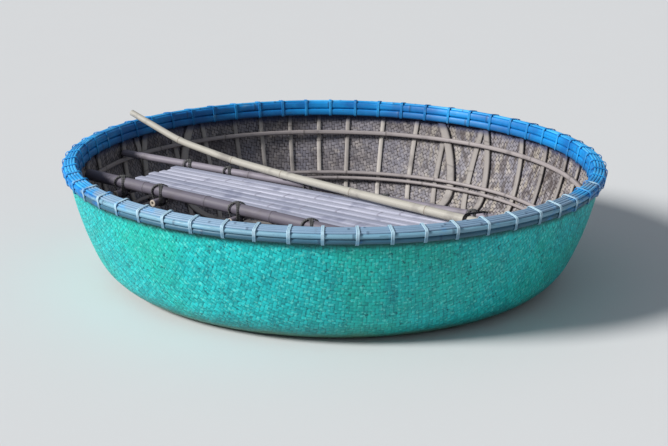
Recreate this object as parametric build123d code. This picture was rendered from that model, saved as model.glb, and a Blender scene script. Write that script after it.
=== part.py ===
from build123d import *
import os
from math import asin, atan, cos, degrees, hypot, radians, sin, sqrt, tan

# A round basket coracle: a woven bamboo bowl with a lattice of split laths inside, a rim of split canes
# bound round the top edge, two hoops sprung against the laths, and a slatted bench carried on the upper
# hoop. Millimetres. The origin is the centre of the waterline, +Z is up, and +Y points away from the
# side that is seen first. Heights are above the water, and "inset" is depth inside the hull's outer face.

# Hull: its outer line runs from the keel point up through three tangent arcs and a straight flare.
RIM_HEIGHT = 390.0
FLOOR_SPREAD = 695.0
FLOOR_RADIUS = 4000.0
BILGE_RADIUS = 205.0
BILGE_TURN = 55.0
SIDE_RADIUS = 1075.0
SIDE_TURN = 14.0
FLARE_LENGTH = 35.0
HULL_WALL = 10.0

# Seats: the gap left between pieces that lie on each other.
SEAT_GAP = 0.3

# Rim: split canes outside and inside the wall, and a cap cane over the top.
CANE_THICKNESS = 15.0
OUTER_CANE_HEIGHT = 16.0
INNER_CANE_HEIGHT = 27.0
CANE_ROUND = 6.0
CAP_THICKNESS = 7.0
CAP_OVERHANG = 8.0
CAP_ROUND = 3.5
WALL_ABOVE_RIM_CENTRE = 19.0

# Each cane is made up of equal lengths that meet end to end, each row at other lashings.
CANE_LENGTHS = 3
CANE_JOINT_GAP = 0.6
CANE_JOINTS = {"outer_upper": 2, "outer_lower": 8, "inner_upper": 5, "inner_lower": 12, "cap": 15}

# Lashings: flat strips that bind the rim at even steps, with a whole number to each length of cane.
LASHINGS_PER_LENGTH = 19
LASHING_WIDTH = 10.0
LASHING_THICKNESS = 2.4
LASHING_FIRST_ANGLE = 1.0

# Lattice: two crossing layers of split laths against the inside of the hull.
LATH_WIDTH = 16.0
LATH_THICKNESS = 6.0
LATH_SPACING = 105.0
LATTICE_TURN = 4.0
LATH_TOP_DROP = 1.0

# A bent lath leans outwards as it climbs. The planes of one family meet in a line this far below the floor.
FLOOR_HEIGHT = -30.0
FORE_FAN = 2000.0
CROSS_FAN = 1200.0

# Offset from its even place in millimetres, and skew in degrees, of each lath that runs away from the eye.
FORE_LATHS = (
    (-14.0, 0.8), (-20.0, -0.6), (-8.0, 0.5), (-14.0, -0.4), (-16.0, 0.6), (-21.0, 0.4),
    (-34.0, -0.3), (-34.0, 0.0), (-33.0, -1.0), (-6.0, 0.7), (-24.0, 0.3), (-36.0, -0.8),
)
# The same for the laths that cross them.
CROSS_LATHS = (
    (-15.0, -1.0), (-3.0, 0.7), (-13.0, 1.4), (-4.0, -0.6), (-18.0, 0.4), (-6.0, -1.2),
    (-16.0, 1.1), (-5.0, -0.9), (-14.0, 0.3), (-3.0, -1.2), (-12.0, 0.6), (-8.0, -0.4),
)

# Hoops sprung against the laths. A depth is measured up the wall, and the step leads down to the third hoop.
HOOP_THICKNESS = 14.0
HOOP_ROUND = 5.0
UPPER_HOOP_HEIGHT = 293.0
UPPER_HOOP_DEPTH = 17.0
LOWER_HOOP_HEIGHT = 137.0
LOWER_HOOP_DEPTH = 14.0
LOWER_HOOP_STEP = 22.0

# Bench: two poles on the upper hoop, bearers slung under them, and slats on the bearers.
BENCH_TURN = -36.8
FRONT_POLE_RADIUS = 20.0
FRONT_POLE_OFFSET = -511.0
FRONT_POLE_SKEW = -2.6
BACK_POLE_RADIUS = 13.0
BACK_POLE_OFFSET = -102.0
BACK_POLE_SKEW = 2.6
CULM_STEP = 290.0
CULM_RING = 1.8
CULM_RING_WIDTH = 12.0
CULM_RING_FLAT = 2.0
CULM_RING_ROOT = 2.5
POLE_BORE = 0.55
POLE_BORE_DEPTH = 60.0
END_CLEARANCE = 1.0

BEARER_RADIUS = 13.0
BEARER_OVERHANG = 42.0
BEARER_PLACES = (-565.0, -385.0, -35.0, 275.0, 610.0)

SLAT_COUNT = 8
SLAT_WIDTH = 36.0
SLAT_THICKNESS = 12.0
SLAT_ROUND = 3.0
SLAT_MARGIN = 10.0
SLAT_LEFT_END = -600.0
SLAT_END_STEPS = (0.0, 11.0, -6.0, 8.0, -9.0, 5.0, 13.0, -3.0)

# Long pole: its thin tip lies on the rim, its middle on the back pole, and its butt on the slats. Its middle
# bows aside in plan, and its height falls by a straight part, the rise, and by a part that curls.
TIP_ANGLE = 144.4
TIP_OVERHANG = 7.5
TIP_RADIUS = 11.5
BUTT_ANGLE = -52.0
BUTT_REACH = 760.0
BUTT_RADIUS = 16.0
LONG_POLE_BOW = 17.0
LONG_POLE_RISE = 17.0
LONG_POLE_CURL = 6.4
LONG_POLE_JOINTS = (0.0, 0.165, 0.335, 0.48, 0.67, 0.86, 1.0)

# Cords: ties where bearers hang from the poles, and the tie from the long pole to the bench.
TIE_WIDTH = 6.0
TIE_THICKNESS = 3.0
TIE_FLAT = 0.62
POLE_TIE_SHARE = 0.68
POLE_TIE_WIDTH = 9.0
POLE_TIE_THICKNESS = 3.0

# The hull's line in arc centres and turns. Angles are the line's slope above level.
FLOOR_TURN = degrees(asin(FLOOR_SPREAD / FLOOR_RADIUS))
BILGE_START = FLOOR_TURN
SIDE_START = BILGE_START + BILGE_TURN
FLARE_SLOPE = SIDE_START + SIDE_TURN


def on_circle(centre, radius, slope):
    """Point of an arc where the hull's line has this slope."""
    x, z = centre
    return (x + radius * sin(radians(slope)), z - radius * cos(radians(slope)))


def arc_centres(keel):
    """Centres of the floor, bilge and side arcs for a keel point at this height."""
    floor = (0.0, keel + FLOOR_RADIUS)
    bilge = on_circle(floor, FLOOR_RADIUS - BILGE_RADIUS, BILGE_START)
    side = on_circle(bilge, BILGE_RADIUS - SIDE_RADIUS, SIDE_START)
    return floor, bilge, side


def flare_rise(keel):
    """Height of the rim's centre above the water for a keel point at this height."""
    side = arc_centres(keel)[2]
    return on_circle(side, SIDE_RADIUS, FLARE_SLOPE)[1] + FLARE_LENGTH * sin(radians(FLARE_SLOPE))


KEEL_HEIGHT = RIM_HEIGHT - flare_rise(0.0)
FLOOR_CENTRE, BILGE_CENTRE, SIDE_CENTRE = arc_centres(KEEL_HEIGHT)


def rim_point(up, out):
    """Point in radius and height, measured along and square to the wall from the rim's centre."""
    x, z = on_circle(SIDE_CENTRE, SIDE_RADIUS, FLARE_SLOPE)
    along = FLARE_LENGTH + up
    c = cos(radians(FLARE_SLOPE))
    s = sin(radians(FLARE_SLOPE))
    return (x + along * c + out * s, z + along * s - out * c)


def wall_slope(height, inset):
    """Slope of the hull's line at this height, for a surface inset from the outer face."""
    for centre, radius, start in (
        (SIDE_CENTRE, SIDE_RADIUS, SIDE_START),
        (BILGE_CENTRE, BILGE_RADIUS, BILGE_START),
        (FLOOR_CENTRE, FLOOR_RADIUS, 0.0),
    ):
        lowest = on_circle(centre, radius - inset, start)[1]
        if height >= lowest:
            level = (centre[1] - height) / (radius - inset)
            return min(90.0 - degrees(asin(level)), FLARE_SLOPE)
    return 0.0


def wall_radius(height, inset):
    """Radius of the surface inset from the hull's outer face, at this height."""
    slope = wall_slope(height, inset)
    if slope >= FLARE_SLOPE:
        x, z = on_circle(SIDE_CENTRE, SIDE_RADIUS - inset, FLARE_SLOPE)
        return x + (height - z) / tan(radians(FLARE_SLOPE))
    if slope >= SIDE_START:
        return on_circle(SIDE_CENTRE, SIDE_RADIUS - inset, slope)[0]
    if slope >= BILGE_START:
        return on_circle(BILGE_CENTRE, BILGE_RADIUS - inset, slope)[0]
    return on_circle(FLOOR_CENTRE, FLOOR_RADIUS - inset, slope)[0]


def hull_line(inset, top):
    """Edges of the hull's line at this inset, from the axis up to a place above the rim's centre."""
    edges = []
    for centre, radius, start, turn in (
        (FLOOR_CENTRE, FLOOR_RADIUS, 0.0, FLOOR_TURN),
        (BILGE_CENTRE, BILGE_RADIUS, BILGE_START, BILGE_TURN),
        (SIDE_CENTRE, SIDE_RADIUS, SIDE_START, SIDE_TURN),
    ):
        edges.append(CenterArc(centre, radius - inset, start - 90.0, turn))
    edges.append(Line(rim_point(-FLARE_LENGTH, -inset), rim_point(top, -inset)))
    return edges


def bowl_layer(outer, inner, top):
    """Closed shell of revolution between two insets, open at the top."""
    close_top = Line(rim_point(top, -outer), rim_point(top, -inner))
    close_axis = Line((0.0, KEEL_HEIGHT + outer), (0.0, KEEL_HEIGHT + inner))
    face = make_face(hull_line(outer, top) + hull_line(inner, top) + [close_top, close_axis])
    return revolve(Plane.XZ * face, Axis.Z, 360)


LASHING_COUNT = LASHINGS_PER_LENGTH * CANE_LENGTHS
LASHING_STEP = 360.0 / LASHING_COUNT


def cane_lengths(face, row):
    """A section drawn in radius and height, carried round the boat in lengths that meet under lashings."""
    turn = 360.0 / CANE_LENGTHS
    gap = degrees(CANE_JOINT_GAP / face.center().X)
    length = revolve(Plane.XZ * face, Axis.Z, turn - gap)
    first = LASHING_FIRST_ANGLE + CANE_JOINTS[row] * LASHING_STEP + gap / 2.0
    return Compound(children=[Rot(0, 0, first + k * turn) * length for k in range(CANE_LENGTHS)])


def save(name, shape):
    export_step(shape, "parts/" + name + ".step")


# Insets of the two lath layers and of the canes inside them.
FORE_LAYER = HULL_WALL + SEAT_GAP
CROSS_LAYER = FORE_LAYER + LATH_THICKNESS + SEAT_GAP
INNER_FACE = CROSS_LAYER + LATH_THICKNESS + SEAT_GAP


def hull_basket():
    return bowl_layer(0.0, HULL_WALL, WALL_ABOVE_RIM_CENTRE)


def rim_section(low, high, inner, outer, rounds):
    """Section of a rim cane between two heights along the wall and two places across it."""
    corners = [rim_point(low, inner), rim_point(low, outer), rim_point(high, outer), rim_point(high, inner)]
    face = make_face(Polyline(*corners, close=True))
    chosen = [face.vertices().sort_by_distance((*corners[index], 0.0))[0] for index in rounds[0]]
    return fillet(chosen, rounds[1])


CANE_TOP = WALL_ABOVE_RIM_CENTRE + SEAT_GAP
OUTER_CANE_FACE = SEAT_GAP + CANE_THICKNESS
INNER_CANE_FACE = -INNER_FACE - CANE_THICKNESS


def rim_canes():
    """Two stacked canes outside the wall and two inside it, rounded on the side that shows."""
    canes = {}
    for side, height, seat, face, shown in (
        ("outer", OUTER_CANE_HEIGHT, SEAT_GAP, OUTER_CANE_FACE, (1, 2)),
        ("inner", INNER_CANE_HEIGHT, INNER_CANE_FACE, -INNER_FACE, (0, 3)),
    ):
        for row, name in enumerate(("upper", "lower")):
            high = CANE_TOP - row * (height + SEAT_GAP)
            section = rim_section(high - height, high, seat, face, (shown, CANE_ROUND))
            canes["rim_%s_cane_%s" % (side, name)] = cane_lengths(section, side + "_" + name)
    return canes


OUTER_CANE_BOTTOM = CANE_TOP - 2.0 * OUTER_CANE_HEIGHT - SEAT_GAP
INNER_CANE_BOTTOM = CANE_TOP - 2.0 * INNER_CANE_HEIGHT - SEAT_GAP
CAP_LOW = CANE_TOP + SEAT_GAP
CAP_HIGH = CAP_LOW + CAP_THICKNESS
CAP_OUTER = SEAT_GAP + CAP_OVERHANG
CAP_INNER = -INNER_FACE - CAP_OVERHANG


def rim_cap():
    """Cane over the top edge of the wall, resting on the canes at each side."""
    return cane_lengths(rim_section(CAP_LOW, CAP_HIGH, CAP_INNER, CAP_OUTER, ((2, 3), CAP_ROUND)), "cap")


def bevelled(points, cuts):
    """The same run of points with each inner corner cut back along both its sides, each by its own cut."""
    result = [points[0]]
    for before, corner, after, cut in zip(points, points[1:], points[2:], cuts):
        for other in (before, after):
            length = hypot(other[0] - corner[0], other[1] - corner[1])
            share = min(cut / length, 0.45)
            result.append(tuple(c + (o - c) * share for c, o in zip(corner, other)))
    result.append(points[-1])
    return result


def rim_lashings():
    """Strips that pass over the cap and down both sides, with their ends tucked under the canes."""
    tuck_outer = 2.0 * SEAT_GAP
    tuck_inner = -INNER_FACE - SEAT_GAP
    low_cut = CANE_ROUND * (2.0 - sqrt(2.0))
    high_cut = OUTER_CANE_FACE - CAP_OUTER + CAP_ROUND * (2.0 - sqrt(2.0))
    loops = []
    for grow in (SEAT_GAP, SEAT_GAP + LASHING_THICKNESS):
        high = CAP_HIGH + grow
        outer = OUTER_CANE_FACE + grow
        inner = INNER_CANE_FACE - grow
        outer_low = OUTER_CANE_BOTTOM - grow
        inner_low = INNER_CANE_BOTTOM - grow
        run = [(outer_low, tuck_outer), (outer_low, outer), (high, outer)]
        run += [(high, inner), (inner_low, inner), (inner_low, tuck_inner)]
        loops.append(bevelled(run, (low_cut, high_cut, high_cut, low_cut)))
    outline = [rim_point(*p) for p in loops[0] + loops[1][::-1]]
    strip = extrude(Plane.XZ * make_face(Polyline(*outline, close=True)), LASHING_WIDTH / 2.0, both=True)
    return [Rot(0, 0, LASHING_FIRST_ANGLE + k * LASHING_STEP) * strip for k in range(LASHING_COUNT)]


def lath_slabs(rows, turn, fan):
    """Slabs that cut one family of laths from a layer, leaning outwards from a line far below the floor."""
    slabs = []
    middle = (len(rows) - 1) / 2.0
    size = 4.0 * FLOOR_SPREAD
    for index, (shift, skew) in enumerate(rows):
        place = (index - middle) * LATH_SPACING + shift
        lean = degrees(atan(place / fan))
        slab = Rot(0, lean, 0) * Box(LATH_WIDTH, size, size)
        slabs.append(Rot(0, 0, turn) * Pos(place, 0, FLOOR_HEIGHT) * Rot(0, 0, skew) * slab)
    return slabs


def lattice():
    """Every lath: one family against the hull, the other over it."""
    top = WALL_ABOVE_RIM_CENTRE - LATH_TOP_DROP
    laths = {}
    for name, rows, inset, turn, fan in (
        ("rib_fore", FORE_LATHS, FORE_LAYER, LATTICE_TURN, FORE_FAN),
        ("rib_cross", CROSS_LATHS, CROSS_LAYER, LATTICE_TURN + 90.0, CROSS_FAN),
    ):
        layer = bowl_layer(inset, inset + LATH_THICKNESS, top)
        for index, slab in enumerate(lath_slabs(rows, turn, fan)):
            laths["%s_%02d" % (name, index + 1)] = layer & slab
    return laths


def hoop(height, depth):
    """Split cane sprung against the laths, with its section leaning as the wall does."""
    slope = wall_slope(height, INNER_FACE)
    radius = wall_radius(height, INNER_FACE)
    c = cos(radians(slope))
    s = sin(radians(slope))
    corners = []
    for up, depth_in in ((-1, 0), (1, 0), (1, 1), (-1, 1)):
        along = up * depth / 2.0
        back = SEAT_GAP / 2.0 + depth_in * HOOP_THICKNESS
        corners.append((radius + along * c - back * s, height + along * s + back * c))
    face = make_face(Polyline(*corners, close=True))
    rounded = [face.vertices().sort_by_distance((*corners[index], 0.0))[0] for index in (2, 3)]
    return revolve(Plane.XZ * fillet(rounded, HOOP_ROUND), Axis.Z, 360)


def hoop_top(height, depth):
    """Height of the hoop's highest edge."""
    slope = wall_slope(height, INNER_FACE)
    back = SEAT_GAP / 2.0 + HOOP_THICKNESS
    return height + depth / 2.0 * sin(radians(slope)) + back * cos(radians(slope))


# Bench levels, all worked up from the top of the upper hoop.
BENCH_SEAT = hoop_top(UPPER_HOOP_HEIGHT, UPPER_HOOP_DEPTH) + SEAT_GAP
FRONT_POLE_HEIGHT = BENCH_SEAT + CULM_RING + FRONT_POLE_RADIUS
BACK_POLE_HEIGHT = BENCH_SEAT + CULM_RING + BACK_POLE_RADIUS
BEARER_HEIGHT = BENCH_SEAT - SEAT_GAP - BEARER_RADIUS
SLAT_TOP = BENCH_SEAT + SLAT_THICKNESS


def aimed(start, end):
    """Plane at the start of a run, with its normal along the run."""
    return Plane(origin=start, z_dir=Vector(end) - Vector(start))


def bar(start, end, radius):
    """Round bar from one point to another."""
    length = (Vector(end) - Vector(start)).length
    return aimed(start, end) * Cylinder(radius, length, align=(Align.CENTER, Align.CENTER, Align.MIN))


def culm_ring(radius):
    """Raised ring where two lengths of bamboo meet, drawn round the Z axis."""
    root = radius - CULM_RING_ROOT
    crest = radius + CULM_RING
    half = [(0.0, -CULM_RING_WIDTH), (root, -CULM_RING_WIDTH), (crest, -CULM_RING_FLAT)]
    section = half + [(r, -z) for r, z in reversed(half)]
    return revolve(Plane.XZ * make_face(Polyline(*section, close=True)), Axis.Z, 360)


def culm(points, radii):
    """Bamboo pole through its joints, with a radius for each length between two and a ring on each joint."""
    pole = bar(points[0], points[1], radii[0])
    for start, end, radius in zip(points[1:], points[2:], radii[1:]):
        pole = pole + bar(start, end, radius)
    for index in range(1, len(points) - 1):
        direction = Vector(points[index + 1]) - Vector(points[index - 1])
        ring_radius = max(radii[index - 1], radii[index])
        pole = pole + Plane(origin=points[index], z_dir=direction) * culm_ring(ring_radius)
    for here, inner, radius in ((points[0], points[1], radii[0]), (points[-1], points[-2], radii[-1])):
        pole = pole - aimed(here, inner) * Cylinder(radius * POLE_BORE, 2.0 * POLE_BORE_DEPTH)
    return pole


def bench_point(along, across, skew, height):
    """Place in the boat from a place along and across the bench, on a line with its own skew."""
    turned = radians(BENCH_TURN + skew)
    base = radians(BENCH_TURN)
    x = along * cos(turned) - across * sin(base)
    y = along * sin(turned) + across * cos(base)
    return (x, y, height)


def reach(across, skew, half_width, height, side):
    """How far along its line a piece can run before a corner meets the laths on this side."""
    limit = wall_radius(height, INNER_FACE) - END_CLEARANCE
    best = None
    for edge in (-half_width, half_width):
        x, y, _ = bench_point(0.0, across, skew, height)
        turned = radians(BENCH_TURN + skew)
        x = x - edge * sin(turned)
        y = y + edge * cos(turned)
        dot = x * cos(turned) + y * sin(turned)
        far = -dot + side * sqrt(dot * dot - (x * x + y * y - limit * limit))
        best = far if best is None else side * min(side * best, side * far)
    return best


def bench_pole(radius, offset, skew, height):
    """Pole from wall to wall across the boat, with its joints at even steps."""
    left = reach(offset, skew, radius, height - radius, -1)
    right = reach(offset, skew, radius, height - radius, 1)
    spans = max(2, round((right - left) / CULM_STEP))
    points = [bench_point(left + (right - left) * k / spans, offset, skew, height) for k in range(spans + 1)]
    return culm(points, [radius] * spans)


def slat_line(index):
    """Offset and skew of a slat, spread evenly between the two poles."""
    share = (index + 0.5) / SLAT_COUNT
    front = FRONT_POLE_OFFSET + FRONT_POLE_RADIUS + SLAT_MARGIN
    back = BACK_POLE_OFFSET - BACK_POLE_RADIUS - SLAT_MARGIN
    return front + (back - front) * share, FRONT_POLE_SKEW + (BACK_POLE_SKEW - FRONT_POLE_SKEW) * share


def slat(index):
    """Split-bamboo slat from the left bearer to the hoop on the right, with its upper edges rounded."""
    across, skew = slat_line(index)
    left = SLAT_LEFT_END + SLAT_END_STEPS[index % len(SLAT_END_STEPS)]
    right = reach(across, skew, SLAT_WIDTH / 2.0, BENCH_SEAT, 1)
    plank = Box(right - left, SLAT_WIDTH, SLAT_THICKNESS, align=(Align.MIN, Align.CENTER, Align.MIN))
    long_edges = plank.edges().filter_by(Axis.X).group_by(Axis.Z)[-1]
    plank = fillet(long_edges, SLAT_ROUND)
    return Pos(*bench_point(left, across, skew, BENCH_SEAT)) * Rot(0, 0, BENCH_TURN + skew) * plank


def pole_across(offset, skew, along):
    """How far across the bench a pole lies at a place along it."""
    return offset + along * tan(radians(skew))


def bearer(along):
    """Round stick under the poles, square to the bench."""
    front = pole_across(FRONT_POLE_OFFSET, FRONT_POLE_SKEW, along) - BEARER_OVERHANG
    back = pole_across(BACK_POLE_OFFSET, BACK_POLE_SKEW, along) + BEARER_OVERHANG
    start = bench_point(along, front, 0.0, BEARER_HEIGHT)
    end = bench_point(along, back, 0.0, BEARER_HEIGHT)
    return bar(start, end, BEARER_RADIUS)


def cross_tie(pole_radius, pole_height):
    """Two crossed loops round a pole and the bearer under it, drawn at the origin of the crossing."""
    loops = None
    half_top = (pole_radius + CULM_RING) * sqrt(2.0) + TIE_WIDTH
    half_low = BEARER_RADIUS * sqrt(2.0) + TIE_WIDTH
    faces = []
    for grow in (SEAT_GAP, SEAT_GAP + TIE_THICKNESS):
        top = pole_height + pole_radius + CULM_RING + grow
        low = BEARER_HEIGHT - BEARER_RADIUS - grow
        corners = [
            (-half_top * TIE_FLAT, top), (-half_top - grow, pole_height), (-half_low - grow, BEARER_HEIGHT),
            (-half_low * TIE_FLAT, low), (half_low * TIE_FLAT, low), (half_low + grow, BEARER_HEIGHT),
            (half_top + grow, pole_height), (half_top * TIE_FLAT, top),
        ]
        faces.append(make_face(Polyline(*corners, close=True)))
    band = extrude(Plane.XZ * (faces[1] - faces[0]), TIE_WIDTH / 2.0, both=True)
    for turn in (45.0, -45.0):
        loops = Rot(0, 0, turn) * band if loops is None else loops + Rot(0, 0, turn) * band
    return loops


def bench_ties():
    ties = []
    for offset, skew, radius, height in (
        (FRONT_POLE_OFFSET, FRONT_POLE_SKEW, FRONT_POLE_RADIUS, FRONT_POLE_HEIGHT),
        (BACK_POLE_OFFSET, BACK_POLE_SKEW, BACK_POLE_RADIUS, BACK_POLE_HEIGHT),
    ):
        tie = cross_tie(radius, height)
        for along in BEARER_PLACES:
            x, y, _ = bench_point(along, pole_across(offset, skew, along), 0.0, 0.0)
            ties.append(Pos(x, y, 0) * Rot(0, 0, BENCH_TURN + skew / 2.0) * tie)
    return ties


# Long pole: bowed a little in plan, and curling down from the rim to the slats.
RIM_CREST = max(rim_point(CAP_HIGH, CAP_INNER)[1], rim_point(CAP_HIGH, CAP_OUTER)[1])
TIP_REACH = rim_point(0.0, 0.0)[0] + TIP_OVERHANG


def polar(radius, angle):
    return (radius * cos(radians(angle)), radius * sin(radians(angle)))


def long_pole_point(share):
    """Middle of the long pole at a share of its length from the tip."""
    tip = polar(TIP_REACH, TIP_ANGLE)
    butt = polar(BUTT_REACH, BUTT_ANGLE)
    length = hypot(butt[0] - tip[0], butt[1] - tip[1])
    aside = LONG_POLE_BOW * 4.0 * share * (1.0 - share) / length
    x = tip[0] + (butt[0] - tip[0]) * share + (butt[1] - tip[1]) * aside
    y = tip[1] + (butt[1] - tip[1]) * share - (butt[0] - tip[0]) * aside
    low = SLAT_TOP + 2.0 * SEAT_GAP + POLE_TIE_THICKNESS + BUTT_RADIUS
    crest_share = (TIP_REACH - rim_point(CAP_HIGH, CAP_INNER)[0]) / length
    left = (1.0 - share) / (1.0 - crest_share)
    over_crest = RIM_CREST + 2.0 * SEAT_GAP + TIP_RADIUS - low - LONG_POLE_RISE
    return (x, y, low + LONG_POLE_RISE * left + over_crest * left ** LONG_POLE_CURL)


def long_pole():
    points = [long_pole_point(share) for share in LONG_POLE_JOINTS]
    lengths = len(points) - 1
    growth = (BUTT_RADIUS - TIP_RADIUS) / (lengths - 1)
    return culm(points, [TIP_RADIUS + growth * index for index in range(lengths)])


def pole_tie():
    """Cord round the long pole near its butt."""
    joint = Vector(long_pole_point(LONG_POLE_JOINTS[-2]))
    butt = Vector(long_pole_point(1.0))
    here = joint + (butt - joint) * POLE_TIE_SHARE
    radius = BUTT_RADIUS + SEAT_GAP
    band = Cylinder(radius + POLE_TIE_THICKNESS, POLE_TIE_WIDTH) - Cylinder(radius, 2.0 * POLE_TIE_WIDTH)
    return aimed(here, butt) * band


def build():
    os.makedirs("parts", exist_ok=True)
    save("hull_basket", hull_basket())
    for name, cane in rim_canes().items():
        save(name, cane)
    save("rim_cap", rim_cap())
    save("rim_lashings", Compound(children=rim_lashings()))
    for name, lath in lattice().items():
        save(name, lath)
    save("hoop_upper", hoop(UPPER_HOOP_HEIGHT, UPPER_HOOP_DEPTH))
    save("hoop_lower", hoop(LOWER_HOOP_HEIGHT, LOWER_HOOP_DEPTH))
    save("hoop_lowest", hoop(LOWER_HOOP_HEIGHT - LOWER_HOOP_STEP, LOWER_HOOP_DEPTH))
    save("bench_front_pole", bench_pole(FRONT_POLE_RADIUS, FRONT_POLE_OFFSET, FRONT_POLE_SKEW, FRONT_POLE_HEIGHT))
    save("bench_back_pole", bench_pole(BACK_POLE_RADIUS, BACK_POLE_OFFSET, BACK_POLE_SKEW, BACK_POLE_HEIGHT))
    for index, along in enumerate(BEARER_PLACES):
        save("bench_bearer_%d" % (index + 1), bearer(along))
    for index in range(SLAT_COUNT):
        save("bench_slat_%d" % (index + 1), slat(index))
    save("bench_ties", Compound(children=bench_ties()))
    save("long_pole", long_pole())
    save("long_pole_tie", pole_tie())


build()
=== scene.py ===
from math import asin, cos, pi, radians, sin

import bpy
import numpy as np
from mathutils import Matrix, Vector


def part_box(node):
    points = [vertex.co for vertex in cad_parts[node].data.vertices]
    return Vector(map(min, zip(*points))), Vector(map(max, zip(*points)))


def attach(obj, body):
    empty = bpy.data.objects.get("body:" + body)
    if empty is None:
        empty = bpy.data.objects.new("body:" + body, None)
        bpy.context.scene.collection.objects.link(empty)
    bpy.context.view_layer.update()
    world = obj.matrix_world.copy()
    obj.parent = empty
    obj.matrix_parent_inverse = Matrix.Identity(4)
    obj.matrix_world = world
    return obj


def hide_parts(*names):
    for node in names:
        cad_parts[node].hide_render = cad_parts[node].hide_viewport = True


# A round basket coracle afloat. Metres. The floor is the water's level, at height 0.
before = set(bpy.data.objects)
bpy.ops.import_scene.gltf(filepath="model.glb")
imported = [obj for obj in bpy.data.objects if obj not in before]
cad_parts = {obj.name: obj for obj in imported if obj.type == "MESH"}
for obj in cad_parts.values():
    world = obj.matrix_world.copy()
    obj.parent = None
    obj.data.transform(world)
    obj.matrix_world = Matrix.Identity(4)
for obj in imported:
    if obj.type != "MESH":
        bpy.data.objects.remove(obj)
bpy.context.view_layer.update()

# The hull's line, from the keel point up: three tangent arcs and a straight flare.
FLOOR_SPREAD = 0.695
FLOOR_RADIUS = 4.0
BILGE_RADIUS = 0.205
BILGE_TURN = radians(55.0)
SIDE_RADIUS = 1.075
SIDE_TURN = radians(14.0)
FLARE_LENGTH = 0.035
HULL_WALL = 0.010
WALL_ABOVE_RIM_CENTRE = 0.019
RIM_HEIGHT = 0.390
SEAT_GAP = 0.0003
LINE_SPARE = 0.06
LINE_STEPS = 6000

# Rim canes, cap and lashings, measured along and square to the wall from the rim's centre.
CANE_THICKNESS = 0.015
CANE_HEIGHTS = {"outer": 0.016, "inner": 0.027}
CANE_ROUND = 0.0068
CANE_EDGE = 0.002
CANE_STEP = 0.020
CAP_THICKNESS = 0.007
CAP_OVERHANG = 0.008
CAP_STRIPS = 4
CAP_STRIP_GAP = 0.0006
CAP_SIDE_DROP = 0.0012
CANE_LENGTHS = 3
CANE_JOINT_GAP = 0.0006
CANE_JOINTS = {"outer_upper": 2, "outer_lower": 8, "inner_upper": 5, "inner_lower": 12, "cap": 15}
LASHINGS_PER_LENGTH = 19
LASHING_FIRST_ANGLE = radians(1.0)
STRANDS = 3
STRAND_PITCH = 0.0036
STRAND_HALF_WIDTH = 0.0019
STRAND_HALF_THICKNESS = 0.0012

# Lattice laths. The planes of a family lean outwards from a line far below the floor, its fan.
LATH_WIDTH = 0.016
LATH_THICKNESS = 0.006
LATH_SPACING = 0.105
LATTICE_TURN = radians(4.0)
LATH_TOP_DROP = 0.001
FLOOR_HEIGHT = -0.030
FORE_FAN = 2.0
CROSS_FAN = 1.2

# Offset from the even place in metres, and skew in degrees, of each lath of the two families.
FORE_LATHS = (
    (-0.014, 0.8), (-0.020, -0.6), (-0.008, 0.5), (-0.014, -0.4), (-0.016, 0.6), (-0.021, 0.4),
    (-0.034, -0.3), (-0.034, 0.0), (-0.033, -1.0), (-0.006, 0.7), (-0.024, 0.3), (-0.036, -0.8),
)
CROSS_LATHS = (
    (-0.015, -1.0), (-0.003, 0.7), (-0.013, 1.4), (-0.004, -0.6), (-0.018, 0.4), (-0.006, -1.2),
    (-0.016, 1.1), (-0.005, -0.9), (-0.014, 0.3), (-0.003, -1.2), (-0.012, 0.6), (-0.008, -0.4),
)

# A lath's section: share of its width to one side, and share of its thickness up from the wall.
LATH_SECTION = (
    (-0.50, 0.08), (-0.50, 0.66), (-0.42, 0.86), (-0.20, 0.95), (0.0, 0.98),
    (0.20, 0.95), (0.42, 0.86), (0.50, 0.66), (0.50, 0.08), (0.42, 0.0), (-0.42, 0.0),
)

# Hoops: height of the middle, and depth of the section up the wall.
HOOP_THICKNESS = 0.014
HOOPS = {"hoop_upper": (0.293, 0.017), "hoop_lower": (0.137, 0.014), "hoop_lowest": (0.115, 0.014)}

# Bench and long pole.
BENCH_TURN = radians(-36.8)
POLE_SKEWS = {"front": radians(-2.6), "back": radians(2.6)}
POLE_RADII = {"front": 0.020, "back": 0.013}
CULM_STEP = 0.290
CULM_RING = 0.0018
CULM_BORE_DEPTH = 0.055
CULM_LIP = 0.0012
BEARER_COUNT = 5
BEARER_RADIUS = 0.013
SLAT_COUNT = 8
SLAT_CROWN = 0.0016
LONG_POLE_TURN = radians(-42.92)
LONG_POLE_JOINTS = (0.0, 0.165, 0.335, 0.48, 0.67, 0.86, 1.0)
LONG_POLE_RADII = (0.0115, 0.016)
BENCH_CORD = 0.0021
POLE_CORD = 0.0022

# Weave: flat strips in a twill, two over and two under. A float's sizes are shares of the pitch.
STRIP_PITCH = 0.0125
STRIP_HALF_WIDTH = 0.48
FLOAT_FLAT = 0.72
FLOAT_END = 1.14
WEAVE_TURN = radians(6.0)
WEAVE_RECESS = 0.0010
WEAVE_TOP_DROP = 0.015
SHELL_START = 0.004
SHELL_ROWS = 60
SHELL_COLUMNS = 144

# Waves per turn in the unevenness of what goes round the boat.
RING_WAVES = (2, 3, 5, 9, 14)

# The photograph's eye, and the lens that fills the frame with the boat from there.
EYE = (-0.175, -5.354, 1.743)
AIM = (0.0, 0.0, 0.165)
LENS = 84.0
EYE_ROLL = radians(0.64)

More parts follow.
